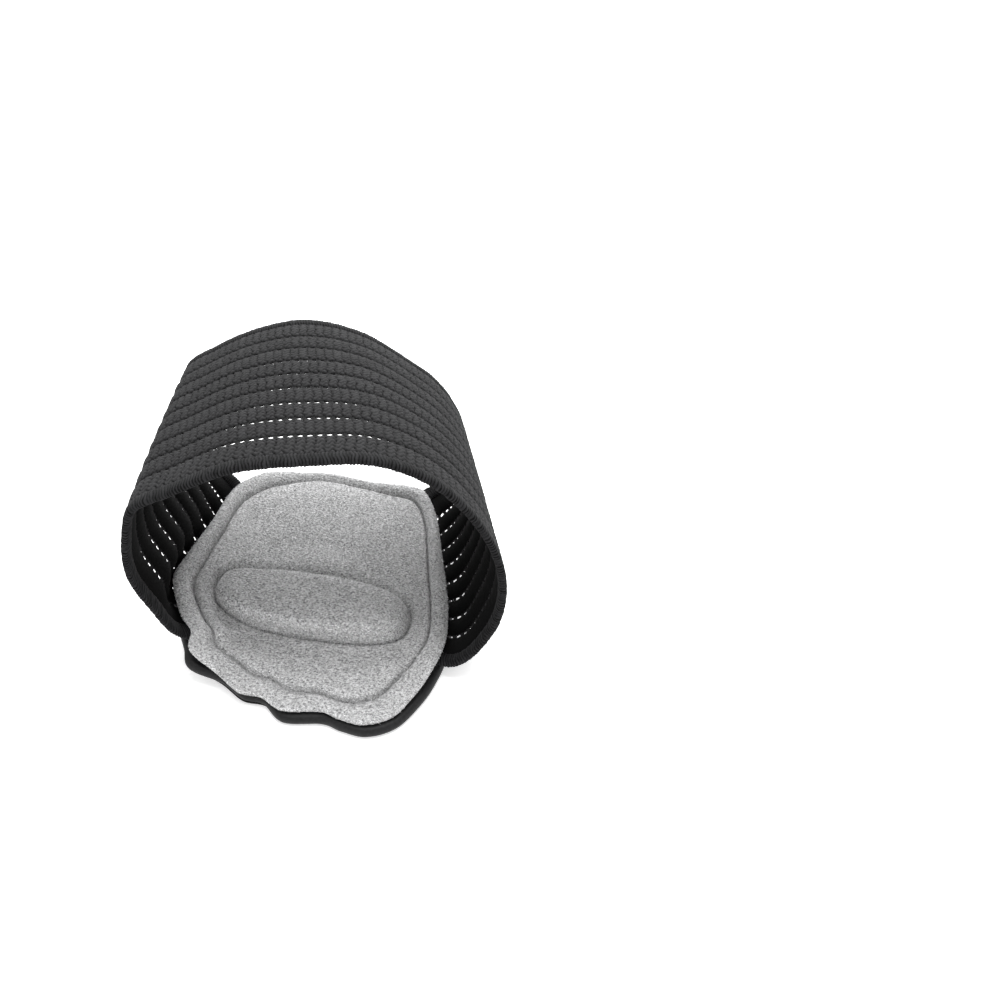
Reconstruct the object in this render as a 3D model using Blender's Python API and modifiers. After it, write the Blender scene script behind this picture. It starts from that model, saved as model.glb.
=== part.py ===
"""Metatarsal pad: a ribbed elastic arch band sewn to a shaped plush pad.

Metres, +Z up, -Y to the toe end, and the origin on the flat of the underside. The pad is
a lofted dish: a smooth backing, a moulded insert with a raised oval bar, and a plush cover
that follows the insert. The band is a strip of ribs and open slits that leaves one side of
the pad, goes over the top and comes back to the other side, with a rolled edge along each
rim.
"""
import math

import bmesh
import bpy

# Pad outline, measured over the plush
PAD_WIDTH = 0.0730
PAD_LENGTH = 0.0940
EDGE_LIFT = 0.0100
FLAT_SHARE = 0.40
LIFT_POWER = 1.6
LIFT_STEPS = 4
FLANGE_WIDTH = 0.0062

# Raised bar of the insert
BAR_LENGTH = 0.0535
BAR_WIDTH = 0.0200
BAR_TURN = math.radians(-13.0)
BAR_SQUARENESS = 2.8
BAR_X = -0.0063
BAR_Y = -0.0090

# Layers of the pad
BACKING_THICKNESS = 0.0030
BACKING_MARGIN = 0.0014
PLUSH_THICKNESS = 0.0020
FLANGE_THICKNESS = 0.0023
FLANGE_FILL = 0.0014
GROOVE_THICKNESS = 0.0014
INSERT_EDGE = 0.0009
FOOT_CLEARANCE = 0.0001
INSERT_CHAMFER = 0.0003
INSERT_SHOULDER = 0.0018
SHOULDER_INSET = 0.0016
INSERT_FLOOR = 0.0020
DOME_HEIGHT = 0.0040
BAR_HEIGHT = 0.0085
FOOT_DOME_SHARE = 0.45
GROOVE_OFFSET = 0.0009
RIM_INSET = 0.0005
GAP = 0.0003

# Elastic band
BAND_WIDTH = 0.0660
BAND_FRONT_Y = -0.0260
LEFT_SEAM_LENGTH = 0.0632
RIGHT_SEAM_LENGTH = 0.0654
FRONT_LOOP_WIDTH = 0.0900
FRONT_LOOP_HEIGHT = 0.0680
REAR_LOOP_WIDTH = 0.0786
REAR_LOOP_HEIGHT = 0.0694
BAND_CROWN = 0.0012
REAR_LOOP_SHIFT = -0.0057
EDGE_WIDTH = 0.0035
EDGE_THICKNESS = 0.0020
RIB_THICKNESS = 0.0016
RIB_COUNT = 9
RIB_GAP = 0.0009
SLITS_PER_ROW = 15
SLIT_SHARE = 0.72
STRIP_GAP = 0.0005
TUCK_DEPTH = 0.0025
TUCK_MARGIN = 0.0011
EDGE_CLEARANCE = 0.0017
SEAM_GAP = 0.0006
SEAM_BEND_SHARE = 0.012
SEAM_MARGIN_SHARE = 0.035

# Outline of the plush, anticlockwise from the front left corner, seen from the bar's
# centre. across and along are shares of the pad's width and length, lift is a share of
# EDGE_LIFT, flange of FLANGE_WIDTH, dome of DOME_HEIGHT, tuck is 1 where the band's end
# is sewn in, and rim is a share of BACKING_MARGIN.
OUTLINE_COLUMNS = ("across", "along", "lift", "flange", "dome", "tuck", "rim")
OUTLINE = (
    (-0.389, -0.191, 0.40, 1.20, 0.00, 1.0, 1.5),
    (-0.292, -0.234, 0.20, 1.10, 0.00, 0.2, -0.4),
    (-0.209, -0.284, 0.10, 1.15, 0.00, 0.0, -0.5),
    (-0.130, -0.295, 0.03, 1.05, 0.00, 0.0, -0.3),
    (-0.048, -0.338, 0.00, 1.10, 0.00, 0.0, 0.8),
    (0.082, -0.341, 0.00, 0.95, 0.00, 0.0, 1.0),
    (0.150, -0.366, 0.00, 1.05, 0.00, 0.0, 1.0),
    (0.237, -0.385, 0.00, 1.20, 0.00, 0.0, 1.0),
    (0.332, -0.359, 0.00, 1.25, 0.00, 0.0, 0.9),
    (0.405, -0.286, 0.00, 1.20, 0.00, 0.3, 0.8),
    (0.459, -0.214, 0.00, 1.05, 0.00, 1.0, 0.3),
    (0.496, -0.111, 0.00, 0.92, 0.10, 1.0, 0.3),
    (0.496, 0.034, 0.05, 0.90, 0.35, 1.0, 0.8),
    (0.463, 0.233, 0.20, 0.90, 0.65, 1.0, 1.0),
    (0.430, 0.405, 0.35, 0.92, 0.85, 1.0, 1.0),
    (0.377, 0.508, 0.52, 0.95, 1.00, 1.0, 1.0),
    (0.295, 0.536, 0.58, 0.90, 1.00, 1.0, 1.0),
    (0.150, 0.570, 0.65, 0.85, 1.00, 0.0, 1.0),
    (-0.018, 0.608, 0.70, 0.85, 1.00, 0.0, 1.0),
    (-0.147, 0.612, 0.72, 0.90, 1.00, 0.0, 1.0),
    (-0.298, 0.585, 0.75, 1.10, 0.95, 1.0, 1.0),
    (-0.408, 0.492, 0.80, 1.10, 0.90, 1.0, 1.0),
    (-0.447, 0.305, 0.90, 0.90, 0.80, 1.0, 1.0),
    (-0.485, 0.140, 1.00, 0.88, 0.60, 1.0, 1.0),
    (-0.504, 0.030, 1.00, 0.95, 0.35, 1.0, 1.0),
    (-0.440, -0.098, 0.85, 1.00, 0.10, 1.0, 1.0),
    (-0.391, -0.148, 0.70, 1.00, 0.00, 1.0, 1.0),
)
SAMPLES_PER_ROW = 2

# Top of the bar: share of the bar's radius, and of the drop from its crown to its foot
BAR_PROFILE = ((0.40, 0.00), (0.72, 0.06), (0.88, 0.38), (1.00, 1.00))

# Top of the insert outside the bar: share of the way to its shoulder, height where there
# is no dome, and share of the dome on top of that
FIELD_PROFILE = (
    (0.35, INSERT_FLOOR, 1.02),
    (0.72, INSERT_FLOOR, 0.82),
    (1.00, INSERT_SHOULDER, 0.20),
)
INSERT_BOTTOM = (0.78, 0.55, 0.35)

# Flange of the plush: share of its thickness at the rim's top and at its outermost point
RIM_TOP_SHARE = 0.86
RIM_MIDDLE_SHARE = 0.42

# Run of the band over the top, from low on the left to low on the right. across is a
# share of half the loop's width and up a share of its height, for the front rim and for
# the rear rim.
LOOP_COLUMNS = ("front_across", "front_up", "rear_across", "rear_up")
LOOP = (
    (-0.93, 0.360, -0.90, 0.33),
    (-1.00, 0.500, -1.00, 0.52),
    (-0.97, 0.680, -0.99, 0.69),
    (-0.90, 0.800, -0.93, 0.81),
    (-0.68, 0.875, -0.72, 0.885),
    (-0.37, 0.965, -0.40, 0.965),
    (0.03, 0.998, -0.09, 1.00),
    (0.40, 0.995, 0.30, 0.945),
    (0.63, 0.925, 0.57, 0.84),
    (0.86, 0.755, 0.79, 0.735),
    (0.98, 0.570, 0.95, 0.57),
    (1.00, 0.400, 0.99, 0.42),
    (0.93, 0.229, 0.92, 0.25),
)
SPLINE_STEPS = 12

# Wall of a rib and of a rolled edge: share of its width, and of its full thickness
RIB_PROFILE = ((0.0, 0.6), (0.5, 1.0), (1.0, 0.6))
EDGE_PROFILE = ((0.0, 0.5), (0.22, 1.0), (0.78, 1.0), (1.0, 0.5))

# Colour and roughness
SMOOTH_BLACK = ((0.025, 0.025, 0.027), 0.55)
WOVEN_BLACK = ((0.035, 0.035, 0.038), 0.85)
ROLLED_BLACK = ((0.030, 0.030, 0.033), 0.90)
PALE_FOAM = ((0.70, 0.70, 0.68), 0.60)
GREY_PLUSH = ((0.42, 0.42, 0.43), 0.95)


def clear_scene():
    for old in list(bpy.data.objects):
        bpy.data.objects.remove(old, do_unlink=True)


def make_material(name, look):
    colour, roughness = look
    material = bpy.data.materials.new(name)
    material.use_nodes = True
    shader = material.node_tree.nodes["Principled BSDF"]
    shader.inputs["Base Color"].default_value = (*colour, 1.0)
    shader.inputs["Roughness"].default_value = roughness
    return material


def mix(a, b, share):
    return a + (b - a) * share


def smooth_mix(before, a, b, after, t):
    """Catmull-Rom value between a and b."""
    return 0.5 * (
        2 * a
        + (b - before) * t
        + (2 * before - 5 * a + 4 * b - after) * t * t
        + (3 * a - before - 3 * b + after) * t ** 3
    )


def pad_directions():
    """Sampled rows of the outline table, each with its reach and its bar radius."""
    found = []
    count = len(OUTLINE)
    for index in range(count):
        rows = [OUTLINE[(index + step) % count] for step in (-1, 0, 1, 2)]
        for sample in range(SAMPLES_PER_ROW):
            t = sample / SAMPLES_PER_ROW
            values = [smooth_mix(*column, t) for column in zip(*rows)]
            row = dict(zip(OUTLINE_COLUMNS, values))
            row["lift"] = max(row["lift"], 0.0) * EDGE_LIFT
            row["tuck"] = mix(rows[1][5], rows[2][5], t)
            row["dome"] = max(row["dome"], 0.0) * DOME_HEIGHT
            row["flange"] *= FLANGE_WIDTH
            row["rim"] *= BACKING_MARGIN
            x = row["across"] * PAD_WIDTH
            y = row["along"] * PAD_LENGTH
            row["reach"] = math.hypot(x, y)
            row["angle"] = math.atan2(y, x)
            row["bar"] = bar_radius(row["angle"])
            found.append(row)
    return found


def bar_radius(angle):
    """Distance from the bar's centre to its outline, a blunt oval."""
    turned = angle - BAR_TURN
    long_part = abs(math.cos(turned) / (BAR_LENGTH / 2)) ** BAR_SQUARENESS
    short_part = abs(math.sin(turned) / (BAR_WIDTH / 2)) ** BAR_SQUARENESS
    return (long_part + short_part) ** (-1 / BAR_SQUARENESS)


def underside(row, radius):
    """Height of the backing's underside: flat in the middle, lifted at the sides.

    It rises in straight steps between the rings of the backing, so that every layer
    above it sees the same facets.
    """
    step = (1.0 - FLAT_SHARE) / LIFT_STEPS
    share = max(radius / row["reach"], FLAT_SHARE)
    index = min(int((share - FLAT_SHARE) / step), LIFT_STEPS - 1)
    start = lift_share(index / LIFT_STEPS)
    end = lift_share((index + 1) / LIFT_STEPS)
    t = (share - FLAT_SHARE) / step - index
    return row["lift"] * mix(start, end, t)


def lift_share(share):
    return share ** LIFT_POWER


def backing_top(row, radius):
    return underside(row, radius) + BACKING_THICKNESS


def pad_point(row, radius, height):
    x = BAR_X + math.cos(row["angle"]) * radius
    y = BAR_Y + math.sin(row["angle"]) * radius
    return (x, y, height)


def tuck_space(row):
    """Room between cover and backing where the band's end is sewn in."""
    return mix(GAP, EDGE_THICKNESS + 2 * SEAM_GAP, row["tuck"])


def flange_depth(row):
    """Thickness of the flange, fuller at the rear where no band lies under it."""
    return FLANGE_THICKNESS + FLANGE_FILL * (1.0 - row["tuck"]) * row["dome"] / DOME_HEIGHT


def insert_crest(row):
    """Radii and heights of the insert's top above its bottom, from the bar outwards."""
    bar = row["bar"]
    foot_height = INSERT_FLOOR + FOOT_DOME_SHARE * row["dome"]
    shoulder = row["reach"] - row["flange"] - SHOULDER_INSET
    crest = []
    for share, drop in BAR_PROFILE:
        crest.append((bar * share, mix(BAR_HEIGHT, foot_height, drop)))
    for share, base, dome in FIELD_PROFILE:
        crest.append((mix(bar, shoulder, share), base + dome * row["dome"]))
    return crest


def from_bar(vert):
    """Level distance of a vertex from the bar's centre."""
    return math.hypot(vert.co.x - BAR_X, vert.co.y - BAR_Y)


def build_loft(name, rings, material, collection):
    """Closed solid through rings of equal count, capped at both ends.

    Each cell is split from its inner corner to the next outer one, whichever way the
    rings run, so that faces of two layers that lie on each other stay parallel.
    """
    mesh = bpy.data.meshes.new(name)
    shape = bmesh.new()
    rows = [[shape.verts.new(point) for point in ring] for ring in rings]
    count = len(rows[0])
    for lower, upper in zip(rows, rows[1:]):
        for index in range(count):
            after = (index + 1) % count
            if from_bar(lower[index]) < from_bar(upper[index]):
                shape.faces.new((lower[index], lower[after], upper[after]))
                shape.faces.new((lower[index], upper[after], upper[index]))
            else:
                shape.faces.new((lower[index], lower[after], upper[index]))
                shape.faces.new((lower[after], upper[after], upper[index]))
    shape.faces.new(list(reversed(rows[0])))
    shape.faces.new(rows[-1])
    bmesh.ops.recalc_face_normals(shape, faces=shape.faces)
    shape.to_mesh(mesh)
    shape.free()
    mesh.materials.append(material)
    mesh.shade_smooth()
    piece = bpy.data.objects.new(name, mesh)
    collection.objects.link(piece)
    return piece


def columns_to_rings(columns):
    """Turn one list of points for each direction into one ring for each level."""
    return [list(ring) for ring in zip(*columns)]


def build_backing(directions, collection):
    """Smooth sheet under the pad with a rounded rim a little proud of the plush."""
    half = BACKING_THICKNESS / 2
    columns = []
    for row in directions:
        reach = row["reach"]
        rim = reach + row["rim"]
        inner = [mix(FLAT_SHARE, 1.0, index / LIFT_STEPS) for index in range(LIFT_STEPS)]
        column = [pad_point(row, reach * s, underside(row, reach * s)) for s in inner]
        column.append(pad_point(row, rim - half, underside(row, reach)))
        column.append(pad_point(row, rim, underside(row, reach) + half))
        column.append(pad_point(row, rim - half, backing_top(row, reach)))
        for s in reversed(inner):
            column.append(pad_point(row, reach * s, backing_top(row, reach * s)))
        columns.append(column)
    material = make_material("backing", SMOOTH_BLACK)
    return build_loft("backing", columns_to_rings(columns), material, collection)


def build_insert(directions, collection):
    """Moulded insert with the raised bar, seated on the backing."""
    columns = []
    for row in directions:
        edge = row["reach"] - row["flange"]
        column = []
        for radius, height in insert_crest(row):
            column.append(pad_point(row, radius, backing_top(row, radius) + GAP + height))
        top = backing_top(row, edge) + GAP
        column.append(pad_point(row, edge, top + INSERT_EDGE * 0.5))
        column.append(pad_point(row, edge - INSERT_CHAMFER, top))
        for share in INSERT_BOTTOM:
            radius = edge * share
            column.append(pad_point(row, radius, backing_top(row, radius) + GAP))
        columns.append(column)
    material = make_material("arch_insert", PALE_FOAM)
    return build_loft("arch_insert", columns_to_rings(columns), material, collection)


def build_plush(directions, collection):
    """Plush cover: follows the insert, pinched at its edge, with a puffed flange."""
    columns = []
    for row in directions:
        reach = row["reach"]
        edge = reach - row["flange"]
        crest = insert_crest(row)
        under = []
        for radius, height in crest:
            clear = radius + GAP if radius < row["bar"] else radius + FOOT_CLEARANCE
            under.append((clear, backing_top(row, clear) + 2 * GAP + height))
        groove = edge + GROOVE_OFFSET
        under.append((groove, backing_top(row, groove) + GAP))
        inner = reach - TUCK_DEPTH - TUCK_MARGIN
        under.append((inner, backing_top(row, inner) + tuck_space(row)))
        outer = reach - RIM_INSET
        under.append((outer, backing_top(row, outer) + tuck_space(row)))
        depths = [PLUSH_THICKNESS] * len(crest)
        flange = flange_depth(row)
        depths += [GROOVE_THICKNESS, flange, flange * RIM_TOP_SHARE]
        column = []
        for (radius, height), depth in zip(under, depths):
            column.append(pad_point(row, radius, height + depth))
        rim_height = backing_top(row, reach) + tuck_space(row) + flange * RIM_MIDDLE_SHARE
        column.append(pad_point(row, reach, rim_height))
        for radius, height in reversed(under):
            column.append(pad_point(row, radius, height))
        columns.append(column)
    material = make_material("plush_cover", GREY_PLUSH)
    return build_loft("plush_cover", columns_to_rings(columns), material, collection)


def edge_crossing(directions, along, side):
    """Direction in which the plush's edge has this Y, on side -1 or +1."""
    count = len(directions)
    for index in range(count):
        first = directions[index]
        second = directions[(index + 1) % count]
        start = pad_point(first, first["reach"], 0.0)
        end = pad_point(second, second["reach"], 0.0)
        if (start[0] - BAR_X) * side <= 0:
            continue
        if (start[1] - along) * (end[1] - along) <= 0 and start[1] != end[1]:
            t = (along - start[1]) / (end[1] - start[1])
            row = {key: mix(first[key], second[key], t) for key in first}
            x = mix(start[0], end[0], t) - BAR_X
            row["angle"] = math.atan2(along - BAR_Y, x)
            row["reach"] = math.hypot(x, along - BAR_Y)
            return row
    raise ValueError("the band is wider than the pad")


def sewn_end(directions, along, side):
    """Two points of the band where it leaves the seam: inside it and just outside."""
    row = edge_crossing(directions, along, side)
    middle = SEAM_GAP + EDGE_THICKNESS / 2
    points = []
    for radius in (row["reach"] - TUCK_DEPTH, row["reach"] + EDGE_CLEARANCE):
        height = backing_top(row, radius) + middle
        points.append(pad_point(row, radius, height))
    return points


def band_section(directions, share):
    """Smooth run of the band at this share of its width, as a dense list of points."""
    along = BAND_FRONT_Y + share * BAND_WIDTH
    half = mix(FRONT_LOOP_WIDTH, REAR_LOOP_WIDTH, share) / 2
    middle = REAR_LOOP_SHIFT * share
    height = mix(FRONT_LOOP_HEIGHT, REAR_LOOP_HEIGHT, share)
    height += BAND_CROWN * 4 * share * (1.0 - share)
    rear = BAND_FRONT_Y + BAND_WIDTH
    points = sewn_end(directions, rear - (1.0 - share) * LEFT_SEAM_LENGTH, -1)
    for values in LOOP:
        row = dict(zip(LOOP_COLUMNS, values))
        across = mix(row["front_across"], row["rear_across"], share)
        up = mix(row["front_up"], row["rear_up"], share)
        points.append((middle + across * half, along, up * height))
    points += reversed(sewn_end(directions, rear - (1.0 - share) * RIGHT_SEAM_LENGTH, 1))
    return smooth_run(points)


def smooth_run(points):
    """Chord-length Catmull-Rom run through the points, which doesn't overshoot."""
    run = []
    last = len(points) - 1
    for index in range(last):
        a = points[index]
        b = points[index + 1]
        before = points[max(index - 1, 0)]
        after = points[min(index + 2, last)]
        here = math.dist(a, b)
        start = [tangent(before, a, b, axis) * here for axis in range(3)]
        end = [tangent(a, b, after, axis) * here for axis in range(3)]
        for step in range(SPLINE_STEPS):
            run.append(hermite(a, b, start, end, step / SPLINE_STEPS))
    run.append(points[-1])
    return run


def tangent(before, point, after, axis):
    """Slope at a point from its two chords, weighted so that the shorter one leads."""
    back = math.dist(before, point)
    ahead = math.dist(point, after)
    if back == 0.0:
        return (after[axis] - point[axis]) / ahead
    if ahead == 0.0:
        return (point[axis] - before[axis]) / back
    back_slope = (point[axis] - before[axis]) / back
    ahead_slope = (after[axis] - point[axis]) / ahead
    return (back_slope * ahead + ahead_slope * back) / (back + ahead)


def hermite(a, b, start, end, t):
    square = t * t
    cube = square * t
    return tuple(
        a[axis] * (2 * cube - 3 * square + 1)
        + start[axis] * (cube - 2 * square + t)
        + b[axis] * (3 * square - 2 * cube)
        + end[axis] * (cube - square)
        for axis in range(3)
    )


def run_at(run, shares):
    """Points at these shares of a run's length."""
    lengths = [0.0]
    for a, b in zip(run, run[1:]):
        lengths.append(lengths[-1] + math.dist(a, b))
    found = []
    index = 0
    for share in shares:
        target = share * lengths[-1]
        while index < len(run) - 2 and lengths[index + 1] < target:
            index += 1
        t = (target - lengths[index]) / (lengths[index + 1] - lengths[index])
        found.append(tuple(mix(p, q, t) for p, q in zip(run[index], run[index + 1])))
    return found


def slit_stations():
    """Shares of the free length where slits begin, peak and end, past a short bend."""
    pitch = (1.0 - 2 * SEAM_MARGIN_SHARE) / SLITS_PER_ROW
    bridge = pitch * (1.0 - SLIT_SHARE) / 2
    stations = [0.0, SEAM_BEND_SHARE]
    for index in range(SLITS_PER_ROW):
        start = SEAM_MARGIN_SHARE + index * pitch
        stations.append(start + bridge)
        stations.append(start + pitch / 2)
        stations.append(start + pitch - bridge)
    return stations + [1.0 - SEAM_BEND_SHARE, 1.0]


def strip_line(directions, share):
    """Points of the band at one share of its width: both sewn ends and the free run."""
    run = band_section(directions, share)
    free = run[SPLINE_STEPS:-SPLINE_STEPS]
    return [run[0], *run_at(free, slit_stations()), run[-1]]


def build_strip(name, across, weights, thickness, slit_rows, material, directions, collection):
    """Strip of the band between shares of its width, with a wall of uneven thickness."""
    shape = bmesh.new()
    weight_layer = shape.verts.layers.deform.verify()
    lines = []
    for share, weight in zip(across, weights):
        line = []
        for point in strip_line(directions, share):
            vert = shape.verts.new(point)
            vert[weight_layer][0] = weight
            line.append(vert)
        lines.append(line)
    slit_cells = slit_cell_indices()
    for row, (near, far) in enumerate(zip(lines, lines[1:])):
        for cell in range(len(near) - 1):
            if row in slit_rows and cell in slit_cells:
                continue
            shape.faces.new((near[cell], far[cell], far[cell + 1], near[cell + 1]))
    mesh = bpy.data.meshes.new(name)
    shape.to_mesh(mesh)
    shape.free()
    mesh.materials.append(material)
    mesh.shade_smooth()
    piece = bpy.data.objects.new(name, mesh)
    piece.vertex_groups.new(name="wall")
    collection.objects.link(piece)
    wall = piece.modifiers.new("wall", "SOLIDIFY")
    wall.thickness = thickness
    wall.offset = 0.0
    wall.vertex_group = "wall"
    wall.use_quality_normals = True
    return piece


def slit_cell_indices():
    """Cells of a strip that lie in a slit: two for each slit, past the seam cells."""
    cells = set()
    for index in range(SLITS_PER_ROW):
        first = 3 + 3 * index
        cells.update((first, first + 1))
    return cells


def build_band(directions, collection):
    """Woven band: ribs with a crown, joined by thin webs that the slits cut through."""
    inset = EDGE_WIDTH + STRIP_GAP
    pitch = (BAND_WIDTH - 2 * inset + RIB_GAP) / RIB_COUNT
    rib = pitch - RIB_GAP
    across = []
    weights = []
    for index in range(RIB_COUNT):
        start = inset + index * pitch
        for share, weight in RIB_PROFILE:
            across.append((start + rib * share) / BAND_WIDTH)
            weights.append(weight)
    webs = {3 * index + 2 for index in range(RIB_COUNT - 1)}
    material = make_material("elastic_band", WOVEN_BLACK)
    return build_strip(
        "elastic_band", across, weights, RIB_THICKNESS, webs, material, directions, collection
    )


def build_edge(name, start, directions, collection):
    """Rolled edge of the band: a rounded strip along one rim."""
    across = [(start + EDGE_WIDTH * share) / BAND_WIDTH for share, weight in EDGE_PROFILE]
    weights = [weight for share, weight in EDGE_PROFILE]
    material = make_material(name, ROLLED_BLACK)
    return build_strip(
        name, across, weights, EDGE_THICKNESS, (), material, directions, collection
    )


def build_part():
    clear_scene()
    collection = bpy.data.collections.new("metatarsal_pad")
    bpy.context.scene.collection.children.link(collection)
    directions = pad_directions()
    build_backing(directions, collection)
    build_insert(directions, collection)
    build_plush(directions, collection)
    build_band(directions, collection)
    build_edge("front_edge", 0.0, directions, collection)
    build_edge("rear_edge", BAND_WIDTH - EDGE_WIDTH, directions, collection)


build_part()
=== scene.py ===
"""Metatarsal pad: woven band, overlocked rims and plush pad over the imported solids.

Metres, +Z up, -Y to the toe end. The outline and loop tables and the functions that read
them repeat the solids, so that every piece lies where its solid is. Only the backing's rim
is set apart from its solid, at the two rows of the outline nearest the front left corner.
"""
import math

import bpy
import numpy as np
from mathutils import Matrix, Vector, noise

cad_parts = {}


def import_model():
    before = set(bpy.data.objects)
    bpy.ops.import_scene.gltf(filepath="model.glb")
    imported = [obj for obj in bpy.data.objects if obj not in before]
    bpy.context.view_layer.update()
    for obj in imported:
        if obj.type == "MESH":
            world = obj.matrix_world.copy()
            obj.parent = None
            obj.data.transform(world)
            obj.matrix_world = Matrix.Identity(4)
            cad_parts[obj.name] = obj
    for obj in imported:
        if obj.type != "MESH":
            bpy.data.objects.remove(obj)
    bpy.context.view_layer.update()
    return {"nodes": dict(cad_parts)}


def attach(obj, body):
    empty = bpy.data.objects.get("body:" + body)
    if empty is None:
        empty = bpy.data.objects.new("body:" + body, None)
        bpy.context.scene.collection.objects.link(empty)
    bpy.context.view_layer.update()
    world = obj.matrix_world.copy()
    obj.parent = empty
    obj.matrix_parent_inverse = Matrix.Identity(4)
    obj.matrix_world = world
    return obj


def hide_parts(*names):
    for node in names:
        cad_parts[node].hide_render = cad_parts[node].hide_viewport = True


# Pad, as in the solids
PAD_WIDTH = 0.0730
PAD_LENGTH = 0.0940
EDGE_LIFT = 0.0100
FLAT_SHARE = 0.40
LIFT_POWER = 1.6
FLANGE_WIDTH = 0.0062
BAR_LENGTH = 0.0535
BAR_WIDTH = 0.0200
BAR_TURN = math.radians(-13.0)
BAR_SQUARENESS = 2.8
BAR_X = -0.0063
BAR_Y = -0.0090
BACKING_THICKNESS = 0.0030
BACKING_MARGIN = 0.0014
PLUSH_THICKNESS = 0.0020
FLANGE_THICKNESS = 0.0023
FLANGE_FILL = 0.0014
GROOVE_THICKNESS = 0.0014
INSERT_FLOOR = 0.0020
INSERT_SHOULDER = 0.0018
SHOULDER_INSET = 0.0016
DOME_HEIGHT = 0.0040
BAR_HEIGHT = 0.0085
FOOT_DOME_SHARE = 0.45
GROOVE_OFFSET = 0.0009
GAP = 0.0003

# Band, as in the solids
BAND_WIDTH = 0.0660
BAND_FRONT_Y = -0.0260
LEFT_SEAM_LENGTH = 0.0632
RIGHT_SEAM_LENGTH = 0.0654
FRONT_LOOP_WIDTH = 0.0900
FRONT_LOOP_HEIGHT = 0.0680
REAR_LOOP_WIDTH = 0.0786
REAR_LOOP_HEIGHT = 0.0694
BAND_CROWN = 0.0012
REAR_LOOP_SHIFT = -0.0057
EDGE_WIDTH = 0.0035
EDGE_THICKNESS = 0.0020
RIB_THICKNESS = 0.0016
RIB_COUNT = 9
RIB_GAP = 0.0009
STRIP_GAP = 0.0005
TUCK_DEPTH = 0.0025
TUCK_MARGIN = 0.0011
EDGE_CLEARANCE = 0.0017
SEAM_GAP = 0.0006

# Outline of the plush, anticlockwise from the front left corner, seen from the bar's
# centre. across and along are shares of the pad's width and length, lift is a share of
# EDGE_LIFT, flange of FLANGE_WIDTH, dome of DOME_HEIGHT, tuck is 1 where the band's end
# is sewn in, and rim is a share of BACKING_MARGIN. The first row's rim is narrower than
# in the solids, and the last row's wider.
OUTLINE_COLUMNS = ("across", "along", "lift", "flange", "dome", "tuck", "rim")
OUTLINE = (
    (-0.389, -0.191, 0.40, 1.20, 0.00, 1.0, 1.0),
    (-0.292, -0.234, 0.20, 1.10, 0.00, 0.2, -0.4),
    (-0.209, -0.284, 0.10, 1.15, 0.00, 0.0, -0.5),
    (-0.130, -0.295, 0.03, 1.05, 0.00, 0.0, -0.3),
    (-0.048, -0.338, 0.00, 1.10, 0.00, 0.0, 0.8),
    (0.082, -0.341, 0.00, 0.95, 0.00, 0.0, 1.0),
    (0.150, -0.366, 0.00, 1.05, 0.00, 0.0, 1.0),
    (0.237, -0.385, 0.00, 1.20, 0.00, 0.0, 1.0),
    (0.332, -0.359, 0.00, 1.25, 0.00, 0.0, 0.9),
    (0.405, -0.286, 0.00, 1.20, 0.00, 0.3, 0.8),
    (0.459, -0.214, 0.00, 1.05, 0.00, 1.0, 0.3),
    (0.496, -0.111, 0.00, 0.92, 0.10, 1.0, 0.3),
    (0.496, 0.034, 0.05, 0.90, 0.35, 1.0, 0.8),
    (0.463, 0.233, 0.20, 0.90, 0.65, 1.0, 1.0),
    (0.430, 0.405, 0.35, 0.92, 0.85, 1.0, 1.0),
    (0.377, 0.508, 0.52, 0.95, 1.00, 1.0, 1.0),
    (0.295, 0.536, 0.58, 0.90, 1.00, 1.0, 1.0),
    (0.150, 0.570, 0.65, 0.85, 1.00, 0.0, 1.0),
    (-0.018, 0.608, 0.70, 0.85, 1.00, 0.0, 1.0),
    (-0.147, 0.612, 0.72, 0.90, 1.00, 0.0, 1.0),
    (-0.298, 0.585, 0.75, 1.10, 0.95, 1.0, 1.0),
    (-0.408, 0.492, 0.80, 1.10, 0.90, 1.0, 1.0),
    (-0.447, 0.305, 0.90, 0.90, 0.80, 1.0, 1.0),
    (-0.485, 0.140, 1.00, 0.88, 0.60, 1.0, 1.0),
    (-0.504, 0.030, 1.00, 0.95, 0.35, 1.0, 1.0),
    (-0.440, -0.098, 0.85, 1.00, 0.10, 1.0, 1.0),
    (-0.391, -0.148, 0.70, 1.00, 0.00, 1.0, 2.0),
)

# Run of the band over the top, from low on the left to low on the right. across is a
# share of half the loop's width and up a share of its height, for the front rim and for
# the rear rim.
LOOP_COLUMNS = ("front_across", "front_up", "rear_across", "rear_up")
LOOP = (
    (-0.93, 0.360, -0.90, 0.33),
    (-1.00, 0.500, -1.00, 0.52),
    (-0.97, 0.680, -0.99, 0.69),
    (-0.90, 0.800, -0.93, 0.81),
    (-0.68, 0.875, -0.72, 0.885),
    (-0.37, 0.965, -0.40, 0.965),
    (0.03, 0.998, -0.09, 1.00),
    (0.40, 0.995, 0.30, 0.945),
    (0.63, 0.925, 0.57, 0.84),
    (0.86, 0.755, 0.79, 0.735),
    (0.98, 0.570, 0.95, 0.57),
    (1.00, 0.400, 0.99, 0.42),
    (0.93, 0.229, 0.92, 0.25),
)
SPLINE_STEPS = 16

BAR_PROFILE = ((0.40, 0.00), (0.72, 0.06), (0.88, 0.38), (1.00, 1.00))
FIELD_PROFILE = (
    (0.35, INSERT_FLOOR, 1.02),
    (0.72, INSERT_FLOOR, 0.82),
    (1.00, INSERT_SHOULDER, 0.20),
)

# Bar as it shows through the cover: rounder on top and with a crisp foot
SHOWN_BAR = ((0.42, 0.00), (0.70, 0.03), (0.86, 0.15), (0.95, 0.42), (0.99, 0.80))
BAR_CREASE = 0.0012

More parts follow.
